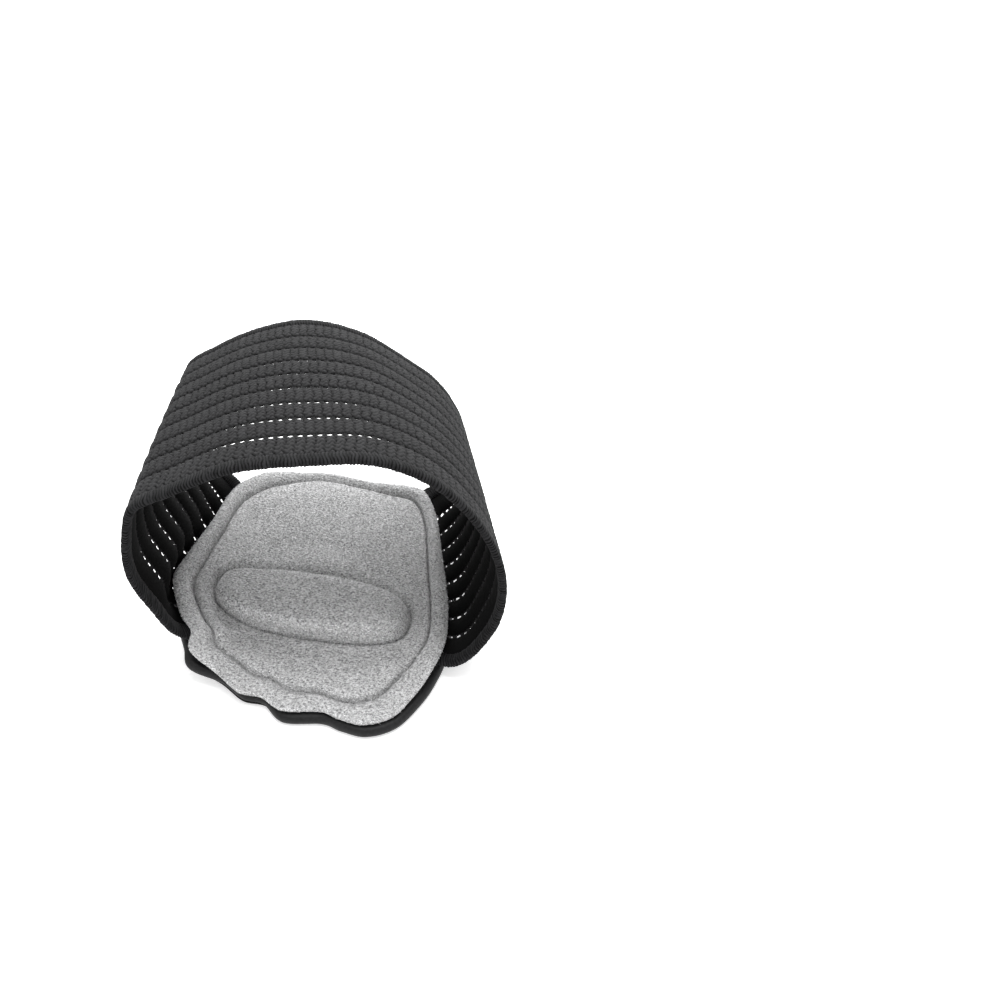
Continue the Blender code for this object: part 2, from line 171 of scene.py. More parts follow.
# Creases of the cover at the bar's foot, and pinch of its groove
GROOVE_DEPTH = 0.0016
GROOVE_SHOULDER = 0.0007
BAR_SWELL = 0.0002
CREASE_REACH = 0.0003
CREASE_END = 0.0009
FOOT_SWELL = 0.0002
PINCH_HALF = 0.0002
GROOVE_RISE = 0.0008
PROFILE_STEP = 0.0008
FLANGE_CROWN = 0.0003
BROW_INSET = 0.0010
UNDER_INSET = 0.0006

# Length of the band's run
BAND_RUN = 0.235

# Weave of the band
BLOCKS = 84
BLOCK_STEPS = 8
STRANDS = 5
STRAND_RELIEF = 0.00052
BLOCK_RELIEF = 0.00050
STRAND_WAVE = 0.40
STRAND_SHARE = 0.62
RIB_NARROWING = 0.00004
RIM_OVERLAP = 0.0008
RELIEF_SINK = 0.7
INSIDE_RELIEF = 0.10
TOOTH_WIDENING = 0.00026
TOOTH_MIDDLE = 0.4
TOP_SAMPLES = 28
BOTTOM_SAMPLES = 8
RIB_POWERS = (1.05, 0.45, 1.4)
EDGE_LEVEL = 0.02
RIB_UV_REACH = 0.0028
RIB_UV_PITCH = 0.0065

# Unevenness of the weave: shares of a block, of a strand and of the hump's height
ROW_SHIFT = 0.12
STRAND_STAGGER = 0.13
STRAND_DRIFT = 0.25
BLOCK_SWELL = 0.10

# Threads between the ribs
THREAD_RADIUS = 0.00024
THREADS_PER_BRIDGE = 3
THREAD_SPACING = 1.9
THREAD_SIDES = 5
BRIDGE_OVERLAP = 0.0006
BRIDGE_SPREAD = 0.0003
BRIDGE_RISE = 0.00022

# Overlocked rims
STITCH_PITCH = 0.00095
STITCH_STEPS = 5
STITCH_RELIEF = 0.00020
STITCH_SINK = 0.55
STITCH_SLANT = 0.55
STITCH_SIZES = (0.55, 1.25)
STITCH_SWAY = 0.26
STITCH_CURVE = 3.4
CHAIN_RELIEF = 0.00010
STITCH_SHADE = 0.4
EDGE_SAMPLES = 22
EDGE_POWERS = (0.85, 0.75, 0.75)
EDGE_UV_REACH = 0.0018

# Plush
PLUSH_DIRECTIONS = 13
PLUSH_STATIONS = 124
PILE_COUNT = 150000
PILE_LENGTH = 0.00062
PILE_WIDTH = 0.00019
PILE_ROOT = 0.0001
PILE_CENTRE = 0.003
COARSE_SCALE = 260.0
COARSE_HEIGHT = 0.00006
FINE_SCALE = 1500.0
FINE_HEIGHT = 0.00012

# Backing: rings of its flat part, where its rim starts, and rings round the rim
BACKING_RINGS = 8
RIM_START = 0.97
RIM_RINGS = 11


def mix(a, b, share):
    return a + (b - a) * share


def smooth_mix(before, a, b, after, t):
    """Catmull-Rom value between a and b."""
    return 0.5 * (
        2 * a
        + (b - before) * t
        + (2 * before - 5 * a + 4 * b - after) * t * t
        + (3 * a - before - 3 * b + after) * t ** 3
    )


def pad_directions(samples):
    """Sampled rows of the outline table, each with its reach and its bar radius."""
    found = []
    count = len(OUTLINE)
    for index in range(count):
        rows = [OUTLINE[(index + step) % count] for step in (-1, 0, 1, 2)]
        for sample in range(samples):
            t = sample / samples
            values = [smooth_mix(*column, t) for column in zip(*rows)]
            row = dict(zip(OUTLINE_COLUMNS, values))
            row["lift"] = max(row["lift"], 0.0) * EDGE_LIFT
            row["tuck"] = mix(rows[1][5], rows[2][5], t)
            row["dome"] = max(row["dome"], 0.0) * DOME_HEIGHT
            row["flange"] *= FLANGE_WIDTH
            row["rim"] *= BACKING_MARGIN
            x = row["across"] * PAD_WIDTH
            y = row["along"] * PAD_LENGTH
            row["reach"] = math.hypot(x, y)
            row["angle"] = math.atan2(y, x)
            row["bar"] = bar_radius(row["angle"])
            found.append(row)
    return found


def bar_radius(angle):
    """Distance from the bar's centre to its outline, a blunt oval."""
    turned = angle - BAR_TURN
    long_part = abs(math.cos(turned) / (BAR_LENGTH / 2)) ** BAR_SQUARENESS
    short_part = abs(math.sin(turned) / (BAR_WIDTH / 2)) ** BAR_SQUARENESS
    return (long_part + short_part) ** (-1 / BAR_SQUARENESS)


def underside(row, radius):
    """Height of the backing's underside: flat in the middle, lifted at the sides."""
    share = max((radius / row["reach"] - FLAT_SHARE) / (1.0 - FLAT_SHARE), 0.0)
    return row["lift"] * share ** LIFT_POWER


def backing_top(row, radius):
    return underside(row, radius) + BACKING_THICKNESS


def pad_point(row, radius, height):
    x = BAR_X + math.cos(row["angle"]) * radius
    y = BAR_Y + math.sin(row["angle"]) * radius
    return (x, y, height)


def tuck_space(row):
    """Room between cover and backing where the band's end is sewn in."""
    return mix(GAP, EDGE_THICKNESS + 2 * SEAM_GAP, row["tuck"])


def flange_depth(row):
    """Thickness of the flange, fuller at the rear where no band lies under it."""
    return FLANGE_THICKNESS + FLANGE_FILL * (1.0 - row["tuck"]) * row["dome"] / DOME_HEIGHT


def insert_crest(row):
    """Radii and heights of the insert's top above its bottom, from the bar outwards."""
    bar = row["bar"]
    foot_height = INSERT_FLOOR + FOOT_DOME_SHARE * row["dome"]
    shoulder = row["reach"] - row["flange"] - SHOULDER_INSET
    crest = []
    for share, drop in BAR_PROFILE:
        crest.append((bar * share, mix(BAR_HEIGHT, foot_height, drop)))
    for share, base, dome in FIELD_PROFILE:
        crest.append((mix(bar, shoulder, share), base + dome * row["dome"]))
    return crest


def edge_crossing(directions, along, side):
    """Direction in which the plush's edge has this Y, on side -1 or +1."""
    count = len(directions)
    for index in range(count):
        first = directions[index]
        second = directions[(index + 1) % count]
        start = pad_point(first, first["reach"], 0.0)
        end = pad_point(second, second["reach"], 0.0)
        if (start[0] - BAR_X) * side <= 0:
            continue
        if (start[1] - along) * (end[1] - along) <= 0 and start[1] != end[1]:
            t = (along - start[1]) / (end[1] - start[1])
            row = {key: mix(first[key], second[key], t) for key in first}
            x = mix(start[0], end[0], t) - BAR_X
            row["angle"] = math.atan2(along - BAR_Y, x)
            row["reach"] = math.hypot(x, along - BAR_Y)
            return row
    raise ValueError("the band is wider than the pad")


def sewn_end(directions, along, side):
    """Two points of the band where it leaves the seam: inside it and just outside."""
    row = edge_crossing(directions, along, side)
    middle = SEAM_GAP + EDGE_THICKNESS / 2
    points = []
    for radius in (row["reach"] - TUCK_DEPTH, row["reach"] + EDGE_CLEARANCE):
        height = backing_top(row, radius) + middle
        points.append(pad_point(row, radius, height))
    return points


def band_section(directions, share):
    """Smooth run of the band at this share of its width, as a dense list of points."""
    along = BAND_FRONT_Y + share * BAND_WIDTH
    half = mix(FRONT_LOOP_WIDTH, REAR_LOOP_WIDTH, share) / 2
    middle = REAR_LOOP_SHIFT * share
    height = mix(FRONT_LOOP_HEIGHT, REAR_LOOP_HEIGHT, share)
    height += BAND_CROWN * 4 * share * (1.0 - share)
    rear = BAND_FRONT_Y + BAND_WIDTH
    points = sewn_end(directions, rear - (1.0 - share) * LEFT_SEAM_LENGTH, -1)
    for values in LOOP:
        row = dict(zip(LOOP_COLUMNS, values))
        across = mix(row["front_across"], row["rear_across"], share)
        up = mix(row["front_up"], row["rear_up"], share)
        points.append((middle + across * half, along, up * height))
    points += reversed(sewn_end(directions, rear - (1.0 - share) * RIGHT_SEAM_LENGTH, 1))
    return smooth_run(points)


def smooth_run(points):
    """Chord-length Catmull-Rom run through the points, which doesn't overshoot."""
    run = []
    points = [np.array(point) for point in points]
    last = len(points) - 1
    steps = (np.arange(SPLINE_STEPS) / SPLINE_STEPS)[:, None]
    square = steps * steps
    cube = square * steps
    for index in range(last):
        a = points[index]
        b = points[index + 1]
        before = points[max(index - 1, 0)]
        after = points[min(index + 2, last)]
        here = np.linalg.norm(b - a)
        start = tangent(before, a, b) * here
        end = tangent(a, b, after) * here
        run.append(
            a * (2 * cube - 3 * square + 1)
            + start * (cube - 2 * square + steps)
            + b * (3 * square - 2 * cube)
            + end * (cube - square)
        )
    run.append(points[-1][None, :])
    return np.concatenate(run)


def tangent(before, point, after):
    """Slope at a point from its two chords, weighted so that the shorter one leads."""
    back = np.linalg.norm(point - before)
    ahead = np.linalg.norm(after - point)
    if back == 0.0:
        return (after - point) / ahead
    if ahead == 0.0:
        return (point - before) / back
    back_slope = (point - before) / back
    ahead_slope = (after - point) / ahead
    return (back_slope * ahead + ahead_slope * back) / (back + ahead)


def resample(run, shares):
    """Points at these shares of a run's length."""
    steps = np.linalg.norm(np.diff(run, axis=0), axis=1)
    lengths = np.concatenate([[0.0], np.cumsum(steps)])
    lengths /= lengths[-1]
    return np.stack([np.interp(shares, lengths, run[:, axis]) for axis in range(3)], axis=1)


def band_grid(directions, across, stations):
    """Middle surface of the band and its outward normals, one row for each share across."""
    spread = 0.004
    rows = []
    sides = []
    for share in across:
        row = resample(band_section(directions, share), stations)
        step = spread if share < 0.5 else -spread
        other = resample(band_section(directions, share + step), stations)
        rows.append(row)
        sides.append((other - row) / step)
    points = np.array(rows)
    side = np.array(sides)
    run = np.gradient(points, axis=1)
    normal = np.cross(run, side)
    normal /= np.linalg.norm(normal, axis=2, keepdims=True)
    return points, normal


def make_piece(name, vertices, quads, caps=(), uv=None, materials=(), slots=None):
    """Mesh object from arrays: four-sided faces, then any end caps."""
    mesh = bpy.data.meshes.new(name)
    vertices = np.asarray(vertices, dtype=np.float32).reshape(-1, 3)
    sides = quads.shape[1]
    loops = np.concatenate([quads.ravel(), *[np.asarray(cap) for cap in caps]])
    totals = np.concatenate([np.full(len(quads), sides), [len(cap) for cap in caps]])
    starts = np.concatenate([[0], np.cumsum(totals)[:-1]])
    mesh.vertices.add(len(vertices))
    mesh.vertices.foreach_set("co", vertices.ravel())
    mesh.loops.add(len(loops))
    mesh.loops.foreach_set("vertex_index", loops.astype(np.int32))
    mesh.polygons.add(len(totals))
    mesh.polygons.foreach_set("loop_start", starts.astype(np.int32))
    mesh.polygons.foreach_set("loop_total", totals.astype(np.int32))
    if uv is not None:
        layer = mesh.uv_layers.new(name="UVMap")
        layer.data.foreach_set("uv", uv[loops.astype(int)].astype(np.float32).ravel())
    for material in materials:
        mesh.materials.append(material)
    if slots is not None:
        filled = np.concatenate([slots, np.zeros(len(caps))]).astype(np.int32)
        mesh.polygons.foreach_set("material_index", filled)
    mesh.update(calc_edges=True)
    mesh.validate()
    mesh.shade_smooth()
    piece = bpy.data.objects.new(name, mesh)
    bpy.context.scene.collection.objects.link(piece)
    return piece


def tube_faces(around, along):
    """Quads of an open tube: rows run around it, columns along it."""
    index = np.arange(around * along).reshape(around, along)
    after = np.roll(index, -1, axis=0)
    return np.stack(
        [index[:, :-1], index[:, 1:], after[:, 1:], after[:, :-1]], axis=2
    ).reshape(-1, 4)


def cord_profile(place):
    """Height of a row of round cords side by side, each 1 wide, from 0 to 1."""
    middle = 2.0 * (place - np.floor(place)) - 1.0
    return np.sqrt(np.maximum(1.0 - middle * middle, 0.0))


def ring_shape(top_count, bottom_count, width_power, side_power, under_power):
    """Across and height, from -1 to 1, round a flattened ring: its top, then its bottom."""
    top = np.linspace(0.0, math.pi, top_count)
    bottom = np.linspace(math.pi, 2 * math.pi, bottom_count + 2)[1:-1]
    turn = np.concatenate([top, bottom])
    across = np.sign(np.cos(turn)) * np.abs(np.cos(turn)) ** width_power
    powers = np.where(turn <= math.pi, side_power, under_power)
    side = np.sign(np.sin(turn)) * np.abs(np.sin(turn)) ** powers
    return across, side


def rib_span(index):
    """First and last share of the band's width that a rib covers."""
    inset = EDGE_WIDTH + STRIP_GAP
    pitch = (BAND_WIDTH - 2 * inset + RIB_GAP) / RIB_COUNT
    start = inset + index * pitch
    return start / BAND_WIDTH, (start + pitch - RIB_GAP) / BAND_WIDTH


def build_rib(directions, index, seed):
    """Rounded rib: blocks of wavy strands outside, smoother inside."""
    start, end = rib_span(index)
    across, side = ring_shape(TOP_SAMPLES, BOTTOM_SAMPLES, *RIB_POWERS)
    stations = np.linspace(0.0, 1.0, BLOCKS * BLOCK_STEPS + 1)
    low = RIB_NARROWING if index > 0 else -RIM_OVERLAP
    high = RIB_NARROWING if index < RIB_COUNT - 1 else -RIM_OVERLAP
    shares = mix(start + low / BAND_WIDTH, end - high / BAND_WIDTH, (across + 1) / 2)
    points, normal = band_grid(directions, shares, stations)
    random = np.random.RandomState(seed)
    block = stations * BLOCKS + random.uniform(-ROW_SHIFT, ROW_SHIFT)
    number = np.floor(block).astype(int)
    number -= number.min()
    offsets = random.uniform(-STRAND_DRIFT, STRAND_DRIFT, number.max() + 1)[number]
    swell = 1.0 + BLOCK_SWELL * random.uniform(-1, 1, number.max() + 1)[number]
    place = across[:, None] * STRANDS / 2 + STRANDS
    staggers = random.uniform(-STRAND_STAGGER, STRAND_STAGGER, 2 * STRANDS)
    jag = staggers[np.floor(place).astype(int)]
    within = 2.0 * np.mod(block[None, :] + jag, 1.0) - 1.0
    hump = (1.0 - np.abs(within) ** 6.0) * swell[None, :]
    wave = STRAND_WAVE * np.sin(2 * math.pi * block) + offsets
    strands = cord_profile(place + wave[None, :])
    fade = np.clip(np.abs(side), 0.0, 1.0)[:, None]
    outer = (side > EDGE_LEVEL)[:, None]
    relief = STRAND_RELIEF * strands + BLOCK_RELIEF * hump
    # Painted shade of the relief: 0 in the grooves between strands and blocks, 1 on the
    # strands; the inner side gets an even middle value.
    relief_shade = mix(hump, strands, STRAND_SHARE)
    relief_shade = np.where(outer, relief_shade, 0.5)
    relief = relief - RELIEF_SINK * (STRAND_RELIEF + BLOCK_RELIEF)
    relief = np.where(outer, relief, -INSIDE_RELIEF * relief) * fade
    height = side[:, None] * RIB_THICKNESS / 2 + relief
    tooth = 0.5 - 0.5 * np.cos(4 * math.pi * block)
    widen = TOOTH_WIDENING * (tooth - TOOTH_MIDDLE) * np.sign(across)[:, None]
    widen = widen * np.abs(across)[:, None] ** 6
    spread = points[0] - points[TOP_SAMPLES - 1]
    spread /= np.linalg.norm(spread, axis=1, keepdims=True)
    vertices = points + normal * height[:, :, None] + spread[None] * widen[:, :, None]
    length = stations * BAND_RUN
    width = across[:, None] * RIB_UV_REACH + index * RIB_UV_PITCH
    uv = np.stack(
        [
            np.broadcast_to(length[None, :], height.shape),
            np.broadcast_to(width, height.shape),
        ],
        axis=2,
    )
    return vertices, uv, side, relief_shade


def build_rib_group(directions, name, indices, outer, inner):
    """Three ribs of the band as one piece."""
    vertices = []
    quads = []
    caps = []
    uvs = []
    slots = []
    relief_shades = []
    offset = 0
    for index in indices:
        points, uv, side, relief_shade = build_rib(directions, index, 40 + index)
        relief_shades.append(relief_shade.ravel())
        around, along = points.shape[:2]
        faces = tube_faces(around, along)
        vertices.append(points.reshape(-1, 3))
        uvs.append(uv.reshape(-1, 2))
        quads.append(faces + offset)
        first = np.arange(around) * along + offset
        caps.append(first)
        caps.append(first[::-1] + along - 1)
        # Faces on the inner side take the second material, a darker copy of the cloth that
        # paints the shade inside the loop.
        inside = (side < -EDGE_LEVEL) | (np.roll(side, -1) < -EDGE_LEVEL)
        slots.append(np.repeat(inside, along - 1).astype(int))
        offset += around * along
    piece = make_piece(
        name,
        np.concatenate(vertices),
        np.concatenate(quads),
        caps,
        np.concatenate(uvs),
        (outer, inner),
        np.concatenate(slots),
    )
    store_relief_shade(piece, np.concatenate(relief_shades))
    return piece


def store_relief_shade(piece, relief_shade):
    """Depth of the relief at each vertex, 0 in the grooves and 1 on the strands, which the
    woven materials use as painted shade that darkens the grooves.
    """
    layer = piece.data.attributes.new("relief_shade", "FLOAT", "POINT")
    layer.data.foreach_set("value", np.asarray(relief_shade, dtype=np.float32).ravel())


def build_bridges(directions, material):
    """Short threads that join neighbouring ribs at each block's end; slits stay between."""
    vertices = []
    quads = []
    offset = 0
    turn = np.linspace(0, 2 * math.pi, THREAD_SIDES, endpoint=False)
    reach = np.array([-1.0, -0.35, 0.35, 1.0])
    for gap in range(RIB_COUNT - 1):
        low = rib_span(gap)[1]
        high = rib_span(gap + 1)[0]
        middle = (low + high) / 2
        half = (high - low) / 2 + BRIDGE_OVERLAP / BAND_WIDTH
        random = np.random.RandomState(90 + gap)
        knots = np.arange(1, BLOCKS)
        fine = []
        for thread in range(THREADS_PER_BRIDGE):
            place = thread - (THREADS_PER_BRIDGE - 1) / 2
            shift = place * THREAD_SPACING * THREAD_RADIUS / BAND_RUN
            stray = random.uniform(-BRIDGE_SPREAD, BRIDGE_SPREAD, len(knots))
            fine.append(knots / BLOCKS + shift + stray)
        stations = np.sort(np.concatenate(fine))
        points, normal = band_grid(directions, middle + half * reach, stations)
        run = np.gradient(points, axis=1)
        run /= np.linalg.norm(run, axis=2, keepdims=True)
        lift = (BRIDGE_RISE * (1 - reach ** 2))[:, None, None] * normal
        centre = points + lift
        for column in range(len(stations)):
            ring = (
                centre[:, column, None, :]
                + THREAD_RADIUS * np.cos(turn)[None, :, None] * run[:, column, None, :]
                + THREAD_RADIUS * np.sin(turn)[None, :, None] * normal[:, column, None, :]
            )
            vertices.append(ring.transpose(1, 0, 2).reshape(-1, 3))
            quads.append(tube_faces(THREAD_SIDES, len(reach)) + offset)
            offset += THREAD_SIDES * len(reach)
    return make_piece(
        "bridge_threads", np.concatenate(vertices), np.concatenate(quads), materials=(material,)
    )


def build_edge(directions, name, start, seed, material):
    """Rolled rim wrapped in slanted overlock stitches."""
    count = int(BAND_RUN / STITCH_PITCH)
    stations = np.linspace(0.0, 1.0, count * STITCH_STEPS + 1)
    across, side = ring_shape(EDGE_SAMPLES // 2 + 1, EDGE_SAMPLES // 2 - 1, *EDGE_POWERS)
    shares = (start + EDGE_WIDTH * (across + 1) / 2) / BAND_WIDTH
    points, normal = band_grid(directions, np.clip(shares, 0.0, 1.0), stations)
    random = np.random.RandomState(seed)
    stitch = stations * count
    number = np.floor(stitch + 0.5).astype(int)
    size = random.uniform(*STITCH_SIZES, number.max() + 2)
    slant = STITCH_SLANT * np.where(side >= 0, across, -across)
    knots = np.arange(0, count + 3, 2)
    sway = np.interp(stitch, knots, random.uniform(-2, 2, (count + 4) // 2))
    bend = np.sin(STITCH_CURVE * across[:, None] + sway[None, :])
    place = stitch[None, :] + slant[:, None] + STITCH_SWAY * bend
    strength = size[np.clip(np.floor(place).astype(int), 0, number.max() + 1)]
    relief = STITCH_RELIEF * (cord_profile(place) * strength - STITCH_SINK)
    chain = CHAIN_RELIEF * np.cos(2 * math.pi * stitch)[None, :] * np.abs(across)[:, None] ** 3
    height = side[:, None] * (EDGE_THICKNESS / 2)
    toward = np.gradient(points, axis=1)
    cross = np.cross(normal, toward)
    cross /= np.linalg.norm(cross, axis=2, keepdims=True)
    swell = relief + chain
    vertices = (
        points
        + normal * (height + side[:, None] * swell)[:, :, None]
        + cross * (across[:, None] * swell)[:, :, None]
    )
    around, along = vertices.shape[:2]
    uv = np.stack(
        [
            np.broadcast_to(stations[None, :] * BAND_RUN, (around, along)),
            np.broadcast_to(across[:, None] * EDGE_UV_REACH, (around, along)),
        ],
        axis=2,
    )
    first = np.arange(around) * along
    rim = make_piece(
        name,
        vertices,
        tube_faces(around, along),
        (first, first[::-1] + along - 1),
        uv.reshape(-1, 2),
        (material,),
    )
    # Painted shade between the stitches, lighter on the bigger stitches.
    store_relief_shade(rim, cord_profile(place) * mix(1.0, strength, STITCH_SHADE))
    return rim


def smooth_profile(points, count):
    """Radius and height stations along a smooth curve through the profile's points."""
    run = smooth_run([(radius, height, 0.0) for radius, height in points])
    return resample(run, np.linspace(0.0, 1.0, count))[:, :2]


def plush_profile(row):
    """Top of the cover from near the bar's centre out over the flange and round its rim."""
    reach = row["reach"]
    edge = reach - row["flange"]
    skin = 2 * GAP + PLUSH_THICKNESS
    bar = row["bar"]
    foot_height = INSERT_FLOOR + FOOT_DOME_SHARE * row["dome"]
    points = [(0.0, backing_top(row, 0.0) + skin + BAR_HEIGHT + BAR_SWELL)]
    for share, drop in SHOWN_BAR:
        radius = bar * share
        height = mix(BAR_HEIGHT, foot_height, drop)
        points.append((radius, backing_top(row, radius) + skin + height))
    foot = backing_top(row, bar) + skin + foot_height
    points.append((bar + CREASE_REACH, foot - BAR_CREASE))
    points.append((bar + CREASE_END, foot + FOOT_SWELL))
    shoulder = edge - SHOULDER_INSET
    groove = edge + GROOVE_OFFSET
    space = tuck_space(row)
    flange = flange_depth(row)
    rise = groove + GROOVE_RISE
    brim = backing_top(row, rise) + space + flange
    for share, base, dome in FIELD_PROFILE:
        radius = mix(bar, shoulder, share) + GAP
        height = backing_top(row, radius) + skin + base + dome * row["dome"]
        if share == 1.0:
            height = max(height, brim - GROOVE_SHOULDER)
        if radius > points[-1][0] + PROFILE_STEP:
            points.append((radius, height))
    lip = points[-1][1]
    lowest = backing_top(row, groove) + GAP + GROOVE_THICKNESS
    bottom = max(lowest, min(brim, lip) - GROOVE_DEPTH)
    points.append((edge + PINCH_HALF, mix(bottom, lip, 0.86)))
    points.append((groove - PINCH_HALF, mix(bottom, lip, 0.30)))
    points.append((groove, bottom))
    points.append((groove + PINCH_HALF, mix(bottom, brim, 0.30)))
    points.append((rise, mix(bottom, brim, 0.90)))
    crown = mix(groove, reach, 0.50)
    points.append((crown, backing_top(row, crown) + space + flange + FLANGE_CROWN))
    brow = reach - BROW_INSET
    points.append((brow, backing_top(row, brow) + space + flange * 0.86))
    points.append((reach, backing_top(row, reach) + space + flange * 0.42))
    under = reach - UNDER_INSET
    points.append((under, backing_top(row, under) + space))
    return points


def build_plush(directions, material):
    """Cover over the insert: dome, bar, pinched groove and puffed flange, closed below."""
    rings = []
    for row in directions:
        top = smooth_profile(plush_profile(row), PLUSH_STATIONS)
        ring = [pad_point(row, radius, height) for radius, height in top[1:]]
        for radius, height in bottom_profile(row):
            ring.append(pad_point(row, radius, height))
        rings.append(ring)
    points = np.array(rings)
    count, stations = points.shape[:2]
    top_count = PLUSH_STATIONS - 1
    roughen(points, top_count)
    crown = points[:, 0].mean(axis=0)
    floor = points[:, -1].mean(axis=0)
    faces = tube_faces(count, stations)[:, ::-1]
    index = np.arange(count) * stations
    after = np.roll(index, -1)
    top_centre = count * stations
    caps = [(top_centre, a, b) for a, b in zip(index, after)]
    caps += [(top_centre + 1, b, a) for a, b in zip(index + stations - 1, after + stations - 1)]
    vertices = np.concatenate([points.reshape(-1, 3), [crown], [floor]])
    piece = make_piece("plush_pad", vertices, faces, caps, materials=(material,))
    return piece, points[:, :top_count]


def bottom_profile(row):
    """Underside of the cover, just over the insert, from the rim back to the middle."""
    reach = row["reach"]
    found = []
    inner = reach - TUCK_DEPTH - TUCK_MARGIN
    found.append((inner, backing_top(row, inner) + tuck_space(row)))
    groove = reach - row["flange"] + GROOVE_OFFSET
    found.append((groove, backing_top(row, groove) + GAP))
    for radius, height in reversed(insert_crest(row)):
        clear = radius + GAP if radius < row["bar"] else radius
        found.append((clear, backing_top(row, clear) + 2 * GAP + height))
    return found


def roughen(points, top_count):
    """Small uneven lumps of the pile on the outer skin."""
    for ring in points:
        for index in range(top_count):
            place = Vector(ring[index])
            coarse = noise.noise(place * COARSE_SCALE)
            fine = noise.noise(place * FINE_SCALE)
            ring[index][2] += COARSE_HEIGHT * coarse + FINE_HEIGHT * fine


def build_pile(skin, material):
    """Short leaning fibres over the cover, in clumps that share a lean."""
    random = np.random.RandomState(3)
    around, along = skin.shape[:2]
    after = np.roll(skin, -1, axis=0)
    a = skin[:, :-1]
    b = skin[:, 1:]
    c = after[:, :-1]
    d = after[:, 1:]
    normal = np.cross(b - a, c - a)
    area = np.linalg.norm(normal, axis=2) + 1e-12
    normal = -normal / area[:, :, None]
    chance = (area / area.sum()).ravel()
    chosen = random.choice(len(chance), PILE_COUNT, p=chance)
    u = random.uniform(0, 1, (PILE_COUNT, 1))
    v = random.uniform(0, 1, (PILE_COUNT, 1))
    corners = [corner.reshape(-1, 3)[chosen] for corner in (a, b, c, d)]
    root = mix(mix(corners[0], corners[1], u), mix(corners[2], corners[3], u), v)
    up = normal.reshape(-1, 3)[chosen]
    up = np.where(up[:, 2:3] < -0.7, -up, up)
    near = np.hypot(root[:, 0] - BAR_X, root[:, 1] - BAR_Y) < PILE_CENTRE
    up[near] = (0.0, 0.0, 1.0)
    lean = np.array([clump_lean(point) for point in root])
    lean -= up * np.sum(lean * up, axis=1, keepdims=True)
    length = PILE_LENGTH * random.uniform(0.6, 1.2, (PILE_COUNT, 1))
    wild = random.normal(0, 0.25, (PILE_COUNT, 3))
    rise = up * random.uniform(0.25, 0.65, (PILE_COUNT, 1)) + lean + wild
    rise /= np.linalg.norm(rise, axis=1, keepdims=True)
    flat = np.cross(rise, up)
    flat /= np.linalg.norm(flat, axis=1, keepdims=True) + 1e-9
    root = root - up * PILE_ROOT
    tip = root + rise * length
    left = root - flat * PILE_WIDTH / 2
    right = root + flat * PILE_WIDTH / 2
    vertices = np.stack([left, right, tip], axis=1).reshape(-1, 3)
    faces = np.arange(PILE_COUNT * 3).reshape(-1, 3)
    return make_piece("plush_pile", vertices, faces, materials=(material,))


def clump_lean(point):
    """Direction in which the pile lies at a point: mostly across the pad."""
    place = Vector(point)
    swirl = noise.noise(place * 1100.0)
    other = noise.noise(place * 1300.0 + Vector((7.0, 3.0, 1.0)))
    return (0.8 + other, 1.6 * swirl - 0.1, 0.8 * other)


def build_backing(directions, material):
    """Smooth sheet with a full round rim a little proud of the plush."""
    half = BACKING_THICKNESS / 2
    rings = []
    for row in directions:
        reach = row["reach"]
        rim = reach + row["rim"]
        ring = []
        for share in np.linspace(FLAT_SHARE, RIM_START, BACKING_RINGS):
            ring.append(pad_point(row, reach * share, underside(row, reach * share)))
        for turn in np.linspace(-math.pi / 2, math.pi / 2, RIM_RINGS):
            radius = rim - half + half * math.cos(turn)
            height = underside(row, reach) + half + half * math.sin(turn)
            ring.append(pad_point(row, radius, height))
        for share in np.linspace(RIM_START, FLAT_SHARE, BACKING_RINGS):
            ring.append(pad_point(row, reach * share, backing_top(row, reach * share)))
        rings.append(ring)
    points = np.array(rings)
    count, stations = points.shape[:2]
    faces = tube_faces(count, stations)
    first = np.arange(count) * stations
    caps = (first, (first + stations - 1)[::-1])
    return make_piece("backing_sheet", points, faces, caps, materials=(material,))


def new_material(name):
    material = bpy.data.materials.new(name)
    material.use_nodes = True
    tree = material.node_tree
    return material, tree, tree.nodes["Principled BSDF"]


def add_ramp(tree, source, low, high, start, end):
    """Colour ramp from a factor output."""
    ramp = tree.nodes.new("ShaderNodeValToRGB")
    ramp.color_ramp.elements[0].position = start
    ramp.color_ramp.elements[0].color = (*low, 1.0)
    ramp.color_ramp.elements[1].position = end
    ramp.color_ramp.elements[1].color = (*high, 1.0)
    tree.links.new(source, ramp.inputs["Fac"])
    return ramp.outputs["Color"]


def add_noise(tree, coordinates, scale, stretch=(1.0, 1.0, 1.0), detail=2.0):
    mapping = tree.nodes.new("ShaderNodeMapping")
    mapping.inputs["Scale"].default_value = stretch
    tree.links.new(coordinates, mapping.inputs["Vector"])
    texture = tree.nodes.new("ShaderNodeTexNoise")
    texture.inputs["Scale"].default_value = scale
    texture.inputs["Detail"].default_value = detail
    tree.links.new(mapping.outputs["Vector"], texture.inputs["Vector"])
    return texture.outputs["Fac"]


def add_bump(tree, shader, height, strength, distance):
    bump = tree.nodes.new("ShaderNodeBump")
    bump.inputs["Strength"].default_value = strength
    bump.inputs["Distance"].default_value = distance
    tree.links.new(height, bump.inputs["Height"])
    tree.links.new(bump.outputs["Normal"], shader.inputs["Normal"])


